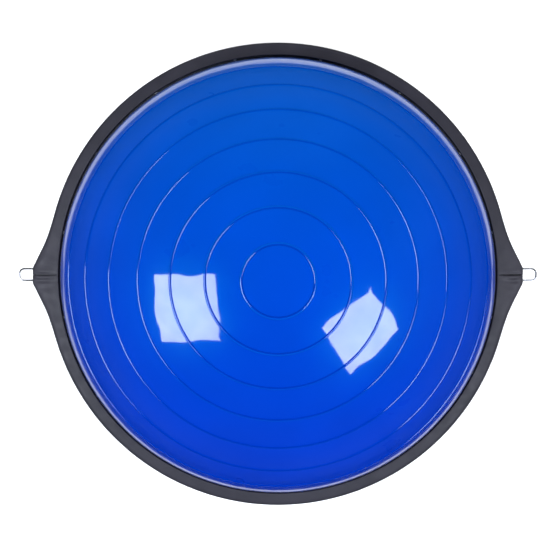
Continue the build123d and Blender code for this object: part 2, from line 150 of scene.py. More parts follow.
# %% A finish and its nodes
class Finish:
    """One material with a Principled shader, and the means to wire patterns into it."""

    def __init__(self, name, **constants):
        self.material = bpy.data.materials.new(name)
        self.material.use_nodes = True
        self.tree = self.material.node_tree
        self.shader = self.tree.nodes["Principled BSDF"]
        for socket, value in constants.items():
            self.shader.inputs[socket.replace("_", " ")].default_value = value
        self.place = self.node("ShaderNodeTexCoord").outputs["Object"]

    def node(self, kind, settings=None, inputs=None):
        """A node of any type: its settings are made first, then its inputs are set or linked."""
        made = self.tree.nodes.new(kind)
        for name, value in (settings or {}).items():
            if name == "stops":
                ramp = made.color_ramp
                while len(ramp.elements) < len(value):
                    ramp.elements.new(0.5)
                for element, (position, grey) in zip(ramp.elements, value):
                    element.position = position
                    element.color = (grey, grey, grey, 1.0)
            else:
                setattr(made, name, value)
        for name, value in (inputs or {}).items():
            self.feed(made.inputs[name], value)
        return made

    def feed(self, socket, value):
        if isinstance(value, Signal):
            value = value.socket
        if isinstance(value, bpy.types.NodeSocket):
            self.tree.links.new(value, socket)
        else:
            socket.default_value = value

    def stretched(self, scale):
        """Object coordinates, scaled along each axis."""
        return self.node("ShaderNodeMapping", {"vector_type": "POINT"},
                         {"Vector": self.place, "Scale": scale}).outputs[0]

    def along(self, axis):
        """One of the object coordinates, in metres."""
        parts = self.node("ShaderNodeSeparateXYZ", inputs={"Vector": self.place})
        return Signal(self, parts.outputs[axis])

    def cloud(self, size, detail=3.0, roughness=0.5, place=None):
        """Soft noise between about 0.3 and 0.7, whose blobs are about `size` metres wide."""
        made = self.node("ShaderNodeTexNoise", {"noise_dimensions": "3D"}, {
            "Vector": place or self.place, "Scale": 1.0 / size, "Detail": detail,
            "Roughness": roughness})
        return Signal(self, made.outputs[0])

    def grains(self, size, randomness=1.0):
        """Distance to the nearest of many scattered points about `size` metres apart."""
        made = self.node("ShaderNodeTexVoronoi", {"feature": "F1"}, {
            "Vector": self.place, "Scale": 1.0 / size, "Randomness": randomness})
        return Signal(self, made.outputs["Distance"])

    def ramp(self, signal, *stops):
        """The signal through a ramp of (position, grey) stops."""
        made = self.node("ShaderNodeValToRGB", {"stops": stops}, {"Fac": signal})
        return Signal(self, made.outputs[0])

    def mixed(self, factor, first, second):
        """A colour between two colours."""
        made = self.node("ShaderNodeMix", {"data_type": "RGBA"}, {
            0: factor, 6: first, 7: second})
        return made.outputs[2]

    def colour(self, value):
        self.feed(self.shader.inputs["Base Color"], value)

    def roughness(self, value):
        self.feed(self.shader.inputs["Roughness"], value)

    def bumps(self, *layers):
        """Bump layers, each (height signal, depth in metres), chained into the shader's normal."""
        normal = None
        for height, depth in layers:
            inputs = {"Height": height, "Distance": depth, "Strength": 1.0}
            if normal is not None:
                inputs["Normal"] = normal
            normal = self.node("ShaderNodeBump", inputs=inputs).outputs[0]
        self.feed(self.shader.inputs["Normal"], normal)


def rgb(red, green, blue):
    return (red, green, blue, 1.0)


finishes = {}


def keep(material):
    """Puts a finished material on the shelf, under its own name."""
    finishes[material.name] = material
    print("finish:", material.name, "of", len(material.node_tree.nodes), "nodes")


print("the shelf of finishes is empty:", finishes)

# %% [markdown]
# ## Blue vinyl
#
# The dome is moulded from soft vinyl with a high gloss. Two things give it away: a sharp reflection of
# each lamp, and a softer glow round that reflection. A sharp coat over a duller base makes both. A fine
# orange peel, faint smears and specks of dust take off some of the shine. The blue is painted greener and
# lighter towards the rear, as painted light for the daylight that falls on the rear. The moulded ridges
# are marked on the dome's mesh: minus one on a ridge's upper flank, which is painted darker as painted
# shade, and plus one on its lower flank, which is painted paler as a painted highlight. The vinyl is
# polished there, so each lamp draws a blue glint.

# %% Make the dome's vinyl
RIDGE_MARK = "ridge"
DOME_WIDTH = 0.54


def dome_vinyl():
    finish = Finish("dome_vinyl", IOR=1.5, Specular_IOR_Level=0.10, Coat_Roughness=0.045, Coat_IOR=1.5,
                    Specular_Tint=rgb(0.0, 1.0, 1.0))
    tone = finish.cloud(0.09, detail=2.0)
    # painted light: the rear of the dome is painted greener and lighter, for the daylight that falls on the
    # rear
    painted_rear_light = (finish.along("Y") / DOME_WIDTH + 0.5).held() ** 2.0
    deep = finish.mixed(painted_rear_light, rgb(0.0, 0.0158, 0.218), rgb(0.0, 0.0405, 0.218))
    light = finish.mixed(painted_rear_light, rgb(0.0, 0.0175, 0.236), rgb(0.0, 0.0430, 0.236))
    skin = finish.mixed(finish.ramp(tone, (0.35, 0.0), (0.65, 1.0)), deep, light)
    dust = finish.ramp(finish.grains(0.0045), (0.0, 1.0), (0.035, 0.0))
    patches = finish.ramp(finish.cloud(0.05), (0.55, 0.0), (0.75, 1.0))
    specks = dust * patches
    marks = finish.node("ShaderNodeAttribute", {"attribute_name": RIDGE_MARK})
    ridge = Signal(finish, marks.outputs["Fac"])
    painted_highlight_flank, painted_shade_flank = ridge.held(), (-1.0 * ridge).held()
    # painted highlight on each ridge's lower flank, and painted shade on its upper flank
    skin = finish.mixed(painted_highlight_flank * 0.35, skin, rgb(0.0, 0.068, 0.28))
    skin = finish.mixed(painted_shade_flank * 0.5, skin, rgb(0.0, 0.012, 0.130))
    finish.colour(finish.mixed(specks * 0.15, skin, rgb(0.12, 0.20, 0.42)))
    smears = finish.cloud(1.0, detail=4.0, place=finish.stretched((14.0, 22.0, 18.0)))
    finish.roughness(finish.ramp(smears, (0.3, 0.27), (0.75, 0.33)) + specks * 0.1
                     - ridge.magnitude() * 0.19)
    polish = finish.cloud(0.02, detail=3.0)
    finish.feed(finish.shader.inputs["Coat Weight"],
                finish.ramp(polish, (0.3, 0.92), (0.7, 0.74)) - specks * 0.2)
    finish.bumps((finish.cloud(0.0022, detail=1.0), 0.000003))
    return finish.material


keep(dome_vinyl())

# %% [markdown]
# ## Rubber
#
# The rim is a matt rubber extrusion, stretched round the platform. Rubber has a close pebbled grain and it
# picks up pale dust in patches on the faces that look up. The faces that turn sideways are painted darker,
# as painted shade, and out at the two ears the rubber is painted paler and greyer, as painted light. The
# pads under the platform are the same stuff, blacker, and scuffed where they touch the floor.

# %% Make the rubbers
EAR_START = 0.270
EAR_LENGTH = 1 / 30.0
SCUFF_HEIGHT = 1 / 1200.0


def rim_rubber():
    finish = Finish("rim_rubber", IOR=1.45, Specular_IOR_Level=0.35)
    mottle = finish.ramp(finish.cloud(0.03, detail=5.0), (0.3, 0.0), (0.7, 1.0))
    base = finish.mixed(mottle, rgb(0.013, 0.0125, 0.018), rgb(0.018, 0.017, 0.024))
    # painted light: out at the two ears the rubber is painted paler and greyer
    painted_ear_light = ((finish.along("X").magnitude() - EAR_START) / EAR_LENGTH).held()
    base = finish.mixed(painted_ear_light * 0.5, base, rgb(0.032, 0.030, 0.038))
    facing = finish.node("ShaderNodeSeparateXYZ", inputs={
        "Vector": finish.node("ShaderNodeNewGeometry").outputs["Normal"]})
    upward_dust_and_side_shade = finish.ramp(Signal(finish, facing.outputs["Z"]), (0.45, 0.0), (0.80, 1.0))
    # painted shade: faces that turn sideways are painted darker; the same mask keeps the pale dust on faces
    # that look up
    base = finish.mixed(upward_dust_and_side_shade, rgb(0.0055, 0.0055, 0.0065), base)
    lint = finish.ramp(finish.grains(0.0022), (0.0, 1.0), (0.07, 0.0))
    patches = finish.ramp(finish.cloud(0.02), (0.5, 0.0), (0.8, 1.0))
    finish.colour(finish.mixed(lint * patches * upward_dust_and_side_shade * 0.5, base, rgb(0.15, 0.15, 0.16)))
    finish.roughness(finish.ramp(finish.cloud(0.012, detail=4.0), (0.3, 0.50), (0.7, 0.66)))
    finish.bumps((finish.cloud(0.008, detail=2.0), 0.00012), (finish.grains(0.0007), 0.00003))
    return finish.material


def pad_rubber():
    finish = Finish("pad_rubber", IOR=1.5)
    low = (1.0 - finish.along("Z") / SCUFF_HEIGHT).held()
    scuffed = finish.ramp(finish.cloud(0.006, detail=6.0), (0.42, 0.0), (0.62, 1.0)) * low
    finish.colour(finish.mixed(scuffed * 0.6, rgb(0.018, 0.018, 0.019), rgb(0.16, 0.155, 0.15)))
    finish.roughness(0.62 + scuffed * 0.25)
    finish.bumps((finish.grains(0.0008), 0.00004))
    return finish.material


keep(rim_rubber())
keep(pad_rubber())

# %% [markdown]
# ## Moulded plastics
#
# The platform's shells come from a mould with a sparked surface, which gives plastic its even matt grain.
# One function makes every moulded plastic here: what differs is the colour, the size of the grain and
# how worn the surface is. Wear is a pale haze in patches, with a few fine scratches drawn out along one
# direction.

# %% Make the plastics
def moulded_plastic(name, shade, grain, wear, gloss):
    finish = Finish(name, IOR=1.48)
    mottle = finish.cloud(0.02, detail=3.0)
    worn = [min(1.0, channel * 1.5 + 0.035) for channel in shade]
    body = finish.mixed(mottle * 0.25, rgb(*shade), rgb(*[channel * 0.75 for channel in shade]))
    haze = finish.ramp(finish.cloud(0.035, detail=6.0), (0.5, 0.0), (0.7, 1.0))
    lines = finish.cloud(1.0, detail=2.0, place=finish.stretched((45.0, 1600.0, 400.0)))
    scratches = finish.ramp(lines, (0.66, 0.0), (0.70, 1.0))
    finish.colour(finish.mixed((haze * 0.5 + scratches * 0.7) * wear, body, rgb(*worn)))
    finish.roughness(gloss + mottle * 0.15 - scratches * 0.08)
    finish.bumps((finish.grains(grain), grain * 0.08), (finish.cloud(grain * 3.0), grain * 0.10))
    return finish.material


keep(moulded_plastic("shell_plastic", (0.022, 0.022, 0.025), grain=0.0007, wear=0.8, gloss=0.42))
keep(moulded_plastic("clamp_plastic", (0.012, 0.012, 0.013), grain=0.0005, wear=0.2, gloss=0.38))
keep(moulded_plastic("plug_plastic", (0.62, 0.64, 0.68), grain=0.0004, wear=0.3, gloss=0.30))
keep(moulded_plastic("valve_vinyl", (0.01, 0.05, 0.33), grain=0.0005, wear=0.2, gloss=0.28))

# %% [markdown]
# ## Metals
#
# The loops are drawn steel wire, plated and polished: long fine draw marks run along the wire, and the
# shine dulls a little in patches. The screws are zinc plated, which is greyer, with a faint yellow and
# blue cast and a coarser surface.

# %% Make the metals
def polished_wire():
    finish = Finish("polished_wire", Metallic=0.85)
    patina = finish.ramp(finish.cloud(0.004, detail=3.0), (0.35, 0.0), (0.7, 1.0))
    finish.colour(finish.mixed(patina, rgb(0.42, 0.42, 0.43), rgb(0.30, 0.30, 0.31)))
    draw = finish.cloud(1.0, detail=2.0, place=finish.stretched((160.0, 3500.0, 3500.0)))
    finish.roughness(0.05 + patina * 0.06 + draw * 0.04)
    finish.bumps((draw, 0.000004))
    return finish.material


def zinc_steel():
    finish = Finish("zinc_steel", Metallic=0.75)
    cast = finish.ramp(finish.cloud(0.003, detail=2.0), (0.35, 0.0), (0.65, 1.0))
    finish.colour(finish.mixed(cast, rgb(0.56, 0.55, 0.50), rgb(0.50, 0.53, 0.58)))
    finish.roughness(0.28 + finish.cloud(0.0008, detail=4.0) * 0.25)
    finish.bumps((finish.cloud(0.0006), 0.00002))
    return finish.material


keep(polished_wire())
keep(zinc_steel())

# %% [markdown]
# ## Dressing the fixed pieces
#
# The record says which finish each fixed piece takes. The finish goes into the piece's own material
# slots, and nothing else about the piece changes.

# %% Give every fixed piece its finish
slot_of = {part["node"]: part["material_slot"] for part in frame["record"]["subparts"]}


def dress(piece, slot):
    piece.data.materials.clear()
    piece.data.materials.append(finishes[slot])


for name, node in nodes.items():
    dress(node, slot_of[name])
print("dressed", len(nodes), "fixed pieces")

# %% [markdown]
# ## From a bmesh to a piece
#
# Each new piece is shaped in a bmesh, in metres, where it belongs. `finished_piece` closes the seams and
# poles that a spin leaves, points every face outwards, shades the surface smooth except at sharp edges,
# and says what the piece rides on, which fixed piece it stands for and which finish it takes.

# %% Turn a bmesh into a riding piece
MERGE = 1e-6


def finished_piece(name, bm, body, slot, replaces=(), sharp=radians(40)):
    bmesh.ops.remove_doubles(bm, verts=bm.verts, dist=MERGE)
    bmesh.ops.recalc_face_normals(bm, faces=bm.faces)
    for face in bm.faces:
        face.smooth = True
    for edge in bm.edges:
        edge.smooth = not (edge.is_manifold and edge.calc_face_angle(0.0) > sharp)
    mesh = bpy.data.meshes.new(name)
    bm.to_mesh(mesh)
    open_edges = sum(not edge.is_manifold for edge in bm.edges)
    bm.free()
    piece = bpy.data.objects.new(name, mesh)
    bpy.context.scene.collection.objects.link(piece)
    dress(piece, slot)
    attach(piece, body)
    if replaces:
        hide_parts(*replaces)
    print(name, len(mesh.polygons), "faces,", open_edges, "open edges")
    return piece


def chain(bm, points):
    """A string of vertices joined by edges, ready to spin."""
    verts = [bm.verts.new(point) for point in points]
    edges = [bm.edges.new(pair) for pair in zip(verts, verts[1:])]
    return verts + edges


def spun(points, steps):
    """A bmesh of the outline (radius, height) spun all the way round the dome's axis."""
    bm = bmesh.new()
    outline = chain(bm, [(radius, 0.0, height) for radius, height in points])
    bmesh.ops.spin(bm, geom=outline, cent=(0, 0, 0), axis=(0, 0, 1), angle=2 * pi, steps=steps,
                   use_merge=True)
    return bm


print("points closer than", MERGE, "m are merged")

# %% [markdown]
# ## The dome
#
# The dome could be a scaled sphere, but then its ridges would be paint. Instead its section is drawn as
# one line, from the top down to the flange and back along the inside, and spun. The outer line is a
# quarter of an ellipse, which keeps the reflections flowing, with a small rounded ridge every few
# centimetres along it. Air pressure pushes the bands between the ridges out a little, so each band is a
# shallow pillow.
#
# Blown vinyl is never quite even. After the spin, noise moves each vertex of the outer skin by about a
# tenth of a millimetre, which is enough to bend the edges of the lamps' reflections.

# %% Draw the dome's section
DOME_RADIUS = 0.269
DOME_TOP = cad_box[1][2]
WIDEST = 0.060
DOME_WALL = 0.003
FOOT_RADIUS = 0.264
FLANGE_RADIUS = 0.281
FLANGE_TOP = 0.041
FLANGE_BOTTOM = 0.038
VALVE_HOLE = 0.0075
RIDGE_COUNT = 7
RIDGE_PITCH = 0.04177
RIDGE_RADIUS = 0.0019
RIDGE_SINK = 0.00076
RIDGE_HALF_WIDTH = sqrt(RIDGE_RADIUS ** 2 - RIDGE_SINK ** 2)
PILLOW = 0.00010
RISE = DOME_TOP - WIDEST


def dome_point(tilt, proud=0.0):
    """A point of the dome's ellipse, `tilt` radians from its top, moved out by `proud`."""
    out = Vector((sin(tilt) / DOME_RADIUS, cos(tilt) / RISE)).normalized()
    return Vector((DOME_RADIUS * sin(tilt), WIDEST + RISE * cos(tilt))) + out * proud


def tilt_at(lengths, along):
    """The tilt whose distance along the dome from its top is `along`."""
    for index, length in enumerate(lengths):
        if length >= along:
            before = lengths[index - 1]
            return (index - 1 + (along - before) / (length - before)) * pi / 2 / (len(lengths) - 1)
    return pi / 2


def surface_lengths(pieces=2000):
    """Distances along the ellipse from the dome's top, at even tilts."""
    lengths = [0.0]
    for step in range(pieces):
        ends = [dome_point(pi / 2 * (step + k) / pieces) for k in (0, 1)]
        lengths.append(lengths[-1] + (ends[1] - ends[0]).length)
    return lengths


def proud_of(along):
    """How far the skin stands out at a distance along the dome: a shallow pillow between ridges, and
    a round bead, partly sunk into the skin, at each ridge."""
    number = round(along / RIDGE_PITCH)
    across = along - number * RIDGE_PITCH
    pillow = PILLOW * sin(pi * along / RIDGE_PITCH) ** 2 - PILLOW
    if number < 1 or number > RIDGE_COUNT or abs(across) > RIDGE_HALF_WIDTH:
        return pillow
    return pillow + sqrt(max(RIDGE_RADIUS ** 2 - across ** 2, 0.0)) - RIDGE_SINK


lengths = surface_lengths()
stations = set()
for number in range(RIDGE_COUNT + 2):
    middle = number * RIDGE_PITCH
    stations |= {middle + RIDGE_HALF_WIDTH * sin(pi * k / 10) for k in range(-5, 6)}
    stations |= {middle + RIDGE_HALF_WIDTH * side * 1.25 for side in (-1, 1)}
    stations |= {middle + RIDGE_PITCH * k / 10 for k in range(1, 10)}
stations = sorted(s for s in stations if 0.001 < s < lengths[-1])
print("ridge circles at radii", [round(dome_point(tilt_at(lengths, n * RIDGE_PITCH)).x, 4)
                                 for n in range(1, RIDGE_COUNT + 1)])

# %% Spin the dome
DOME_STEPS = 360
SWELL = 0.00013
SLOW_SWELLS = 38.0
QUICK_SWELLS = 85.0
QUICK_SHARE = 0.45
SKIN_SHARE = 0.993


def bulge_below(inset):
    """The skin from the dome's widest circle in and down to its foot."""
    drop, back = WIDEST - FLANGE_TOP, DOME_RADIUS - FOOT_RADIUS
    bend = (drop ** 2 + back ** 2) / (2 * back)
    return [(DOME_RADIUS - bend + (bend - inset) * cos(turn), WIDEST - (bend - inset) * sin(turn))
            for turn in [atan2(drop, bend - back) * k / 8 for k in range(1, 9)]]


def dome_skin():
    outline = [(0.0, DOME_TOP - PILLOW)]
    outline += [tuple(dome_point(tilt_at(lengths, s), proud_of(s))) for s in stations]
    outline += bulge_below(0.0)
    outline += [(FLANGE_RADIUS, FLANGE_TOP), (FLANGE_RADIUS, FLANGE_BOTTOM),
                (VALVE_HOLE, FLANGE_BOTTOM), (VALVE_HOLE, FLANGE_TOP)]
    inside = [tuple(dome_point(pi / 2 * k / 30, -DOME_WALL)) for k in range(31)]
    inside += bulge_below(DOME_WALL)
    return spun(outline + [(x, max(z, FLANGE_TOP)) for x, z in reversed(inside)], DOME_STEPS)


def ridge_side(tilt):
    """Minus one on a ridge's upper flank, plus one on its lower flank, nought on the plain skin."""
    along = lengths[int(tilt / (pi / 2) * (len(lengths) - 1))]
    across = along - round(along / RIDGE_PITCH) * RIDGE_PITCH
    if abs(across) >= RIDGE_HALF_WIDTH or along <= RIDGE_PITCH / 2:
        return 0.0
    return -1.0 if across < -RIDGE_HALF_WIDTH * 0.1 else 1.0


def mark_and_swell(bm):
    """Marks the ridges of the outer skin and moves its vertices in and out a little."""
    mark = bm.verts.layers.float.new(RIDGE_MARK)
    for vert in bm.verts:
        across, up = hypot(vert.co.x, vert.co.y) / DOME_RADIUS, (vert.co.z - WIDEST) / RISE
        if up > 0 and hypot(across, up) > SKIN_SHARE:
            vert[mark] = ridge_side(atan2(across, up))
            outward = Vector((vert.co.x / DOME_RADIUS ** 2, vert.co.y / DOME_RADIUS ** 2,
                              up / RISE)).normalized()
            slow, quick = noise.noise(vert.co * SLOW_SWELLS), noise.noise(vert.co * QUICK_SWELLS)
            vert.co += outward * SWELL * (slow + quick * QUICK_SHARE)
    return bm


dome = finished_piece("dome_skin", mark_and_swell(dome_skin()), "platform", "dome_vinyl",
                      ["dome_bladder"])

# %% [markdown]
# ## The rubber rim
#
# Each rim strip is a U of rubber half way round the platform. The U is spun through half a turn, and
# then the two ends are drawn outwards into the ears: every point moves out by what the platform's
# outline asks at its bearing, more at the outside than at the lip. The spin's steps are crowded
# together near the ears first, because that is where the shape is.
#
# The strips butt at the middle of each ear. Their ends are rounded over, the front one stands a little
# proud, and the stretched rubber near them lies in soft folds.

# %% The platform's outline
RIM_RADIUS = 0.290
EAR_REACH = 0.308
EAR_TIP_HALF_WIDTH = {"rear": 0.0088, "front": 0.0104}
EAR_FLANK = tan(radians(27.1))
TIP_SOFTNESS = 0.0009
ROOT_SOFTNESS = 0.0066
EAR_SPREAD = radians(26)


def soft_max(first, second, softness):
    """The larger of two lengths, with the corner between them rounded."""
    near = max(softness - abs(first - second), 0.0)
    return max(first, second) + near * near / (4 * softness)


def outline_reach(bearing, front):
    """How far the outline is from the axis, at a bearing from the nearest ear's middle."""
    tip = EAR_REACH / cos(bearing)
    half_width = EAR_TIP_HALF_WIDTH["front" if front else "rear"]
    flank = (EAR_REACH + half_width * EAR_FLANK) / (
        cos(bearing) + EAR_FLANK * sin(bearing))
    ear = -soft_max(-tip, -flank, TIP_SOFTNESS)
    return soft_max(ear, RIM_RADIUS, ROOT_SOFTNESS) if bearing < EAR_SPREAD else RIM_RADIUS


print("ear reach:", round(outline_reach(0.0, True), 4), "root:", round(outline_reach(radians(17), True), 4))

# %% The rim's section
LIP_RADIUS = 0.2735
LIP_TOP = 0.0495
TOP_FALL = 0.25
FOOT_LIP_RADIUS = 0.266
RIM_BOTTOM = 0.0015
BOTTOM_BREAK = 0.284
BOTTOM_RISE = 0.27
CORE_RADIUS = 0.2855
CORE_SHOULDER = 0.2813
CORE_TOP = 0.044
CORE_BOTTOM = 0.005


def rounded(corner, before, after, radius, steps=6):
    """Points of a rounded corner between two neighbouring points."""
    corner, before, after = Vector(corner), Vector(before), Vector(after)
    start = corner + (before - corner).normalized() * radius
    end = corner + (after - corner).normalized() * radius
    return [start.lerp(corner, k / steps).lerp(corner.lerp(end, k / steps), k / steps)
            for k in range(steps + 1)]


def rim_section():
    """The U of rubber as (radius, height) points in order round the section."""
    shoulder = LIP_TOP - TOP_FALL * (RIM_RADIUS - LIP_RADIUS)
    heel = RIM_BOTTOM + BOTTOM_RISE * (RIM_RADIUS - BOTTOM_BREAK)
    lip_under, lip_edge = (LIP_RADIUS, CORE_TOP + 0.0001), (LIP_RADIUS, LIP_TOP)
    top_out, side_low = (RIM_RADIUS, shoulder), (RIM_RADIUS, heel)
    foot_out, foot_in = (BOTTOM_BREAK, RIM_BOTTOM), (FOOT_LIP_RADIUS, RIM_BOTTOM)
    foot_top = (FOOT_LIP_RADIUS, CORE_BOTTOM)
    section = [Vector(lip_under)] + rounded(lip_edge, lip_under, top_out, 0.0022)
    section += [Vector(lip_edge).lerp(Vector(top_out), k / 6) for k in range(2, 5)]
    section += rounded(top_out, lip_edge, side_low, 0.0055, 8)
    section += [Vector(top_out).lerp(Vector(side_low), k / 7) for k in range(2, 6)]
    section += rounded(side_low, top_out, foot_out, 0.0045, 7)
    section += [Vector(foot_out), Vector(foot_out).lerp(Vector(foot_in), 0.4)]
    section += rounded(foot_in, foot_out, foot_top, 0.0010, 3)
    core_fall = TOP_FALL * (CORE_RADIUS - CORE_SHOULDER)
    section += [Vector(foot_top), Vector((BOTTOM_BREAK, CORE_BOTTOM)), Vector((CORE_RADIUS, CORE_BOTTOM)),
                Vector((CORE_RADIUS, CORE_TOP - core_fall)), Vector((CORE_SHOULDER, CORE_TOP))]
    return section


print("rim section:", len(rim_section()), "points")

# %% Shape one strip
RIM_STEPS = 400
CROWDING = 0.38
SEAM_GAP = 0.00015
SLIT = 0.00045
SLIT_START = 0.2797
SLIT_END = 0.3055
FOLD_DEPTH = 0.0012


def lining(radius, height):
    """Whether a point of the section lies on the platform rather than on the outside."""
    return CORE_BOTTOM - 1e-4 < height < CORE_TOP + 2e-4 and radius < CORE_RADIUS + 1e-4


def drawn_out(point, bearing, height, front):
    """Where a point of the spun strip goes once the ears are drawn out."""
    radius = hypot(point.x, point.y)
    inner = lining(radius, height)
    start, end = (CORE_SHOULDER, CORE_RADIUS) if inner else (0.276, RIM_RADIUS)
    share = min(max((radius - start) / (end - start), 0.0), 1.0)
    grow = (outline_reach(bearing, front) - RIM_RADIUS) * share
    if height > CORE_TOP / 2:
        height -= TOP_FALL * grow
    elif radius > BOTTOM_BREAK - 1e-4:
        height += BOTTOM_RISE * grow
    return radius + grow, height, inner


def fold_height(x, y, front):
    """Soft folds and the rolled end of a strip near its seam, as a height above the plain skin."""
    out = min(max((abs(x) - 0.279) / 0.012, 0.0), 1.0)
    tip = min(max((0.306 - abs(x)) / 0.006, 0.0), 1.0)
    ripple = noise.noise(Vector((x * 90, abs(y) * 110, 3.0 if front else 7.0)))
    near = exp(-(abs(y) / 0.030) ** 2)
    rolled = exp(-((abs(y) - 0.0030) / 0.0024) ** 2) * (1.15 if front else 0.15)
    hollow = -0.9 * exp(-((abs(y) - 0.0075) / 0.0030) ** 2) if front else 0.0
    crease = -exp(-((abs(y) - 0.0016) / 0.0016) ** 2) * (0.0 if front else 1.0)
    return FOLD_DEPTH * out * (near * ripple * 1.2 + tip * (rolled + hollow + crease))


def seam_edge(x, height):
    """Where a strip's end stands from the middle of the ear: it is rolled back along the slit."""
    into = min(abs(x) - SLIT_START, SLIT_END - abs(x)) / 0.0008
    return SEAM_GAP + SLIT * min(max(into, 0.0), 1.0) * (1.0 if height > 0.030 else 0.0)


def rim_strip(front):
    bm = bmesh.new()
    section = rim_section()
    outline = chain(bm, [(p.x, 0.0, p.y) for p in section])
    outline.append(bm.edges.new((outline[len(section) - 1], outline[0])))
    bmesh.ops.spin(bm, geom=outline, cent=(0, 0, 0), axis=(0, 0, 1), angle=pi, steps=RIM_STEPS)
    bmesh.ops.holes_fill(bm, edges=[e for e in bm.edges if e.is_boundary], sides=0)
    for vert in bm.verts:
        turn = atan2(vert.co.y, vert.co.x)
        turn = turn - CROWDING * sin(2 * turn)
        bearing = min(abs(turn), abs(pi - turn))
        radius, height, inner = drawn_out(vert.co, bearing, vert.co.z, front)
        x, y = radius * cos(turn), radius * sin(turn)
        if not inner and height > CORE_TOP / 2:
            height += fold_height(x, y, front)
        vert.co = (x, max(y, seam_edge(x, height)), height)
    if front:
        bmesh.ops.scale(bm, vec=(1, -1, 1), verts=bm.verts)
    return bm


print("a strip is spun in", RIM_STEPS, "steps")

# %% Fit both strips
LOOP_PITCH = 0.0147
WIRE_RADIUS = 0.0012
LEG_ROOM = 0.0004
SLOT_LOW = 0.0224
SLOT_HIGH = 0.0343
SLOT_PLACE = 0.306
SLOT_LENGTH = 0.024


def open_slots(piece, front):
    """Cuts the slots through which the wire loops' legs leave the ear's rubber."""
    side = -1 if front else 1
    bm = bmesh.new()
    for ear in (-1, 1):
        middle = (ear * SLOT_PLACE, side * LOOP_PITCH / 2, (SLOT_LOW + SLOT_HIGH) / 2)
        size = (SLOT_LENGTH, 2 * (WIRE_RADIUS + LEG_ROOM), SLOT_HIGH - SLOT_LOW)
        bmesh.ops.create_cube(bm, size=1.0,
                              matrix=Matrix.Translation(middle) @ Matrix.Diagonal((*size, 1)))
    mesh = bpy.data.meshes.new("slot_cutter")
    bm.to_mesh(mesh)
    bm.free()
    cutter = bpy.data.objects.new("slot_cutter", mesh)
    bpy.context.scene.collection.objects.link(cutter)
    cut = piece.modifiers.new("slots", "BOOLEAN")
    cut.operation = "DIFFERENCE"
    cut.solver = "EXACT"
    cut.use_self = True
    cut.object = cutter
    view = bpy.context.evaluated_depsgraph_get()
    shaped = bpy.data.meshes.new_from_object(piece.evaluated_get(view))
    piece.modifiers.remove(cut)
    piece.data = shaped
    bpy.data.objects.remove(cutter)
    print(piece.name, "slotted:", len(shaped.polygons), "faces")


for name, front in (("rim_rear_rubber", False), ("rim_front_rubber", True)):
    fixed = "rim_strip_front" if front else "rim_strip_rear"
    strip = finished_piece(name, rim_strip(front), "platform", "rim_rubber", [fixed], radians(70))
    open_slots(strip, front)

# %% [markdown]
# ## The wire loops
#
# A bent wire is a circle carried along straight runs and round bends. Extruding the circle's edges and
# moving them makes a run, and spinning them about a point beside the wire makes a bend, just as a wire
# bender does it. Each loop starts at the end of one foot, goes out along a leg, across the end and back
# to the other foot. The feet lie inside the ear, where the loop hinges.

# %% Bend a loop
LOOP_PIVOT = 0.296
LOOP_REACH = 0.3275
FOOT_REACH = 0.017
FOOT_BEND = 0.003
END_BEND = 0.006
PARTING = 0.024
WIRE_SIDES = 20


def run(bm, ring, move):
    """Carries the ring of edges straight along `move` and returns the new ring."""
    made = bmesh.ops.extrude_edge_only(bm, edges=ring)["geom"]
    verts = [v for v in made if isinstance(v, bmesh.types.BMVert)]
    bmesh.ops.translate(bm, vec=move, verts=verts)
    return [e for e in made if isinstance(e, bmesh.types.BMEdge) and all(v in verts for v in e.verts)]


def bend(bm, ring, centre, angle, steps=10):
    """Carries the ring round a bend in the plane of the loop and returns the new ring."""
    verts = list({v for e in ring for v in e.verts})
    made = bmesh.ops.spin(bm, geom=verts + ring, cent=(*centre, PARTING), axis=(0, 0, 1), angle=angle,
                          steps=steps)["geom_last"]
    return [e for e in made if isinstance(e, bmesh.types.BMEdge)]


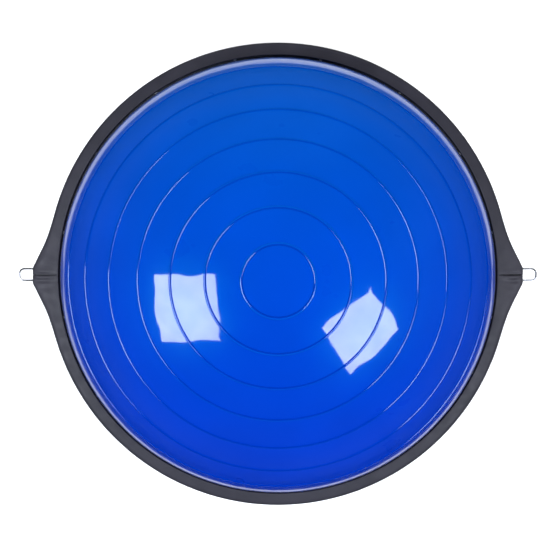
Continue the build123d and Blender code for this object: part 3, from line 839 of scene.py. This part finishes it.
def loop_wire():
    """The right-hand loop, with its ends chamfered."""
    bm = bmesh.new()
    stand = Matrix.Translation((LOOP_PIVOT, -FOOT_REACH, PARTING)) @ Matrix.Rotation(pi / 2, 4, "X")
    bmesh.ops.create_circle(bm, segments=WIRE_SIDES, radius=WIRE_RADIUS * 0.75, matrix=stand)
    start = list(bm.edges)
    chamfer = WIRE_RADIUS / 4
    half, end = LOOP_PITCH / 2, LOOP_REACH - WIRE_RADIUS
    foot_run = FOOT_REACH - half - FOOT_BEND - chamfer
    leg_run = end - END_BEND - LOOP_PIVOT - FOOT_BEND
    ring = run(bm, start, (0, chamfer, 0))
    grown = list({v for e in ring for v in e.verts})
    centre = Vector((LOOP_PIVOT, -FOOT_REACH + chamfer, PARTING))
    bmesh.ops.scale(bm, vec=(4 / 3, 1, 4 / 3), verts=grown, space=Matrix.Translation(-centre))
    ring = run(bm, ring, (0, foot_run, 0))
    ring = bend(bm, ring, (LOOP_PIVOT + FOOT_BEND, -half - FOOT_BEND), -pi / 2, 8)
    for _ in range(6):
        ring = run(bm, ring, (leg_run / 6, 0, 0))
    ring = bend(bm, ring, (end - END_BEND, -half + END_BEND), pi / 2, 14)
    ring = run(bm, ring, (0, LOOP_PITCH - 2 * END_BEND, 0))
    ring = bend(bm, ring, (end - END_BEND, half - END_BEND), pi / 2, 14)
    for _ in range(6):
        ring = run(bm, ring, (-leg_run / 6, 0, 0))
    ring = bend(bm, ring, (LOOP_PIVOT + FOOT_BEND, half + FOOT_BEND), -pi / 2, 8)
    ring = run(bm, ring, (0, foot_run, 0))
    ring = run(bm, ring, (0, chamfer, 0))
    centre = Vector((LOOP_PIVOT, FOOT_REACH, PARTING))
    bmesh.ops.scale(bm, vec=(0.75, 1, 0.75), verts=list({v for e in ring for v in e.verts}),
                    space=Matrix.Translation(-centre))
    bmesh.ops.remove_doubles(bm, verts=bm.verts, dist=MERGE)
    bmesh.ops.holes_fill(bm, edges=[e for e in bm.edges if e.is_boundary], sides=0)
    return bm


for side, turn in (("right", 0.0), ("left", pi)):
    bm = loop_wire()
    bmesh.ops.rotate(bm, cent=(0, 0, 0), matrix=Matrix.Rotation(turn, 3, "Z"), verts=bm.verts)
    finished_piece("loop_wire_" + side, bm, "band_loop_" + side, "polished_wire", ["band_loop_" + side])

# %% [markdown]
# ## The floor pads
#
# Eight rubber pads keep the platform off the floor. Each is a short turned disc with an eased rim and
# three rings pressed into its face, which let air out so that it grips. One outline is spun at each
# place.

# %% Turn the pads
PAD_RADIUS = 0.019
PAD_TOP = 0.0035
PAD_CIRCLE = 0.203
PAD_COUNT = 8


def pad_outline():
    points = [(0.0, 0.0)]
    for groove in (0.005, 0.010, 0.015):
        points += [(groove - 0.0009, 0.0), (groove - 0.0004, 0.0005), (groove + 0.0004, 0.0005),
                   (groove + 0.0009, 0.0)]
    edge = rounded((PAD_RADIUS, 0.0), (0.0, 0.0), (PAD_RADIUS, PAD_TOP), 0.0008, 5)
    points += [tuple(p) for p in edge]
    return points + [(PAD_RADIUS, PAD_TOP), (0.0, PAD_TOP)]


for number in range(PAD_COUNT):
    bearing = 2 * pi * (number + 0.5) / PAD_COUNT
    bm = spun(pad_outline(), 64)
    bmesh.ops.translate(bm, vec=(PAD_CIRCLE * cos(bearing), PAD_CIRCLE * sin(bearing), 0.0),
                        verts=bm.verts)
    finished_piece(f"pressed_pad_{number + 1}", bm, "platform", "pad_rubber",
                   [f"floor_pad_{number + 1}"], radians(30))

# %% [markdown]
# ## The valve plug
#
# The plug is pulled out by a finger and thumb, so its round head carries a flat tab with three grip
# bars. Its shaft has two soft beads that seal in the valve. The shaft and head are spun, and the tab is
# a rounded plate beneath.

# %% Make the plug
SEAT_BOTTOM = 0.029
PLUG_HEAD_RADIUS = 0.009
PLUG_HEAD_BOTTOM = 0.0264
PLUG_TOP = 0.042
PLUG_SHAFT = 0.0039
TAB_HALF_WIDTH = 0.0044
TAB_DROP = 0.0026
TAB_THICKNESS = 0.0024


def plug_outline():
    head = rounded((PLUG_HEAD_RADIUS, PLUG_HEAD_BOTTOM), (0, PLUG_HEAD_BOTTOM),
                   (PLUG_HEAD_RADIUS, SEAT_BOTTOM), 0.0008, 5)
    points = [(0.0, PLUG_HEAD_BOTTOM), (0.0062, PLUG_HEAD_BOTTOM), (0.0064, PLUG_HEAD_BOTTOM + 0.0003),
              (0.0069, PLUG_HEAD_BOTTOM + 0.0003), (0.0071, PLUG_HEAD_BOTTOM)]
    points += [tuple(p) for p in head]
    points += [(PLUG_HEAD_RADIUS, SEAT_BOTTOM - 0.0002), (PLUG_SHAFT, SEAT_BOTTOM - 0.0002)]
    for bead in (0.0335, 0.0375):
        points += [(PLUG_SHAFT + 0.00010 * sin(pi * k / 4), bead + 0.0004 * (k - 2)) for k in range(5)]
    return points + [(PLUG_SHAFT, 0.0398), (0.0034, 0.0412), (0.0027, PLUG_TOP), (0.0, PLUG_TOP)]


def plug_tab(bm):
    """A plate with rounded corners under the head, with grip bars on both faces."""
    corners = [(-TAB_HALF_WIDTH, 0.0006), (TAB_HALF_WIDTH, 0.0006),
               (TAB_HALF_WIDTH, -TAB_DROP), (-TAB_HALF_WIDTH, -TAB_DROP)]
    verts = [bm.verts.new((x, -TAB_THICKNESS / 2, PLUG_HEAD_BOTTOM + z)) for x, z in corners]
    face = bm.faces.new(verts)
    made = bmesh.ops.extrude_face_region(bm, geom=[face])["geom"]
    moved = [v for v in made if isinstance(v, bmesh.types.BMVert)]
    bmesh.ops.translate(bm, vec=(0, TAB_THICKNESS, 0), verts=moved)
    low = [e for v in verts[2:] + moved for e in v.link_edges
           if abs(e.verts[0].co.y - e.verts[1].co.y) > TAB_THICKNESS / 2
           and e.verts[0].co.z < PLUG_HEAD_BOTTOM]
    bmesh.ops.bevel(bm, geom=list(set(low)), offset=0.0016, affect="EDGES", segments=5, profile=0.5,
                    material=-1)
    for side in (-1, 1):
        for bar in range(3):
            place = Matrix.Translation((0, side * TAB_THICKNESS / 2,
                                        PLUG_HEAD_BOTTOM - 0.0005 - 0.0007 * bar))
            size = Matrix.Diagonal((0.0052, 0.0005, 0.0003, 1))
            bmesh.ops.create_cube(bm, size=1.0, matrix=place @ size)


bm = spun(plug_outline(), 64)
plug_tab(bm)
finished_piece("grip_plug", bm, "valve_plug", "plug_plastic", ["valve_plug"], radians(35))

# %% [markdown]
# ## Floor and light
#
# The trainer stands on a plain pale floor that runs off in every direction. Two square softboxes hang
# off to the left and to the right, in front, and their reflections are the two bright patches on the
# dome. Four broad dim panels, one on each side, and a pale surround fill the shadows. Neither the
# panels nor the surround is seen in the gloss, which would otherwise wash out the blue, and for the same
# reason only the part of the floor next to the trainer is bright in a reflection.

# %% Lay the floor
FLOOR_RADIUS = 6.0
FLOOR_DROP = 0.0002
LIT_MIDDLE = 0.015
LIT_RADIUS = 0.340
LIT_FADE = 0.010


def pale_floor():
    """Pale everywhere, but only its part near the trainer is bright in a glossy reflection."""
    finish = Finish("pale_floor", Roughness=0.9)
    finish.colour(finish.ramp(finish.cloud(0.4, detail=3.0), (0.3, 0.80), (0.7, 0.82)))
    away = ((finish.along("X") ** 2 + (finish.along("Y") - LIT_MIDDLE) ** 2) ** 0.5).held()
    lit = finish.ramp(away, (LIT_RADIUS, 0.5), (LIT_RADIUS + LIT_FADE, 0.0))
    in_gloss = Signal(finish, finish.node("ShaderNodeLightPath").outputs["Is Glossy Ray"])
    unlit = finish.node("ShaderNodeBsdfDiffuse", inputs={"Color": rgb(0.0, 0.0, 0.0)})
    blend = finish.node("ShaderNodeMixShader", inputs={
        0: in_gloss * (1.0 - lit), 1: finish.shader.outputs[0], 2: unlit.outputs[0]})
    finish.feed(finish.tree.nodes["Material Output"].inputs["Surface"], blend.outputs[0])
    return finish.material


keep(pale_floor())
bm = bmesh.new()
edge = chain(bm, [(0, 0, -FLOOR_DROP), (FLOOR_RADIUS, 0, -FLOOR_DROP)])
bmesh.ops.spin(bm, geom=edge, cent=(0, 0, 0), axis=(0, 0, 1), angle=2 * pi, steps=96, use_merge=True)
bmesh.ops.remove_doubles(bm, verts=bm.verts, dist=MERGE)
mesh = bpy.data.meshes.new("studio_floor")
bm.to_mesh(mesh)
bm.free()
floor = bpy.data.objects.new("studio_floor", mesh)
bpy.context.scene.collection.objects.link(floor)
floor.data.materials.append(finishes["pale_floor"])
print("floor laid,", FLOOR_RADIUS, "m in radius")

# %% Hang the lights
def panel(name, place, facing, edge, size, watts, in_gloss=True, shade=(1.0, 1.0, 1.0)):
    """A rectangular area light at a place, facing a point, with one edge along a direction."""
    light = bpy.data.lights.new(name, "AREA")
    light.shape = "RECTANGLE"
    light.size, light.size_y = size
    light.energy = watts
    light.color = shade
    lamp = bpy.data.objects.new(name, light)
    bpy.context.scene.collection.objects.link(lamp)
    back = (Vector(place) - Vector(facing)).normalized()
    side = (Vector(edge) - Vector(edge).dot(back) * back).normalized()
    turn = Matrix((side, back.cross(side), back)).transposed()
    lamp.matrix_world = Matrix.Translation(place) @ turn.to_4x4()
    lamp.visible_glossy = in_gloss
    print(name, "at", [round(c, 2) for c in place], watts, "W")
    return lamp


LAMP = (0.83, 0.89, 1.0)
FILL_AWAY = 2.0
FILL_HEIGHT = 1.3
FILL_SIZE = (2.0, 1.2)
panel("softbox_left", (-0.939, -0.336, 1.310), (-0.100, -0.029, 0.232), (0.79, 0.0, 0.61),
      (0.735, 0.712), 29.0, shade=LAMP)
panel("softbox_right", (0.861, -0.560, 1.287), (0.092, -0.056, 0.231), (0.73, 0.65, -0.22),
      (0.675, 0.635), 23.7, shade=LAMP)
for name, (across, along), watts in (("rear_fill", (0, 1), 54.0), ("front_fill", (0, -1), 16.0),
                                     ("right_fill", (1, 0), 22.0), ("left_fill", (-1, 0), 6.0)):
    place = (across * FILL_AWAY, along * FILL_AWAY, FILL_HEIGHT)
    edge = (abs(along), abs(across), 0)
    panel(name, place, (0.0, 0.0, 0.2), edge, FILL_SIZE, watts, in_gloss=False)

world = bpy.data.worlds.new("pale_surround")
bpy.context.scene.world = world
world.use_nodes = True
world.node_tree.nodes["Background"].inputs["Color"].default_value = rgb(0.92, 0.95, 1.0)
world.node_tree.nodes["Background"].inputs["Strength"].default_value = 0.98
world.cycles_visibility.glossy = False

# %% Show the CAD box and finish
print("CAD box:", cad_box)
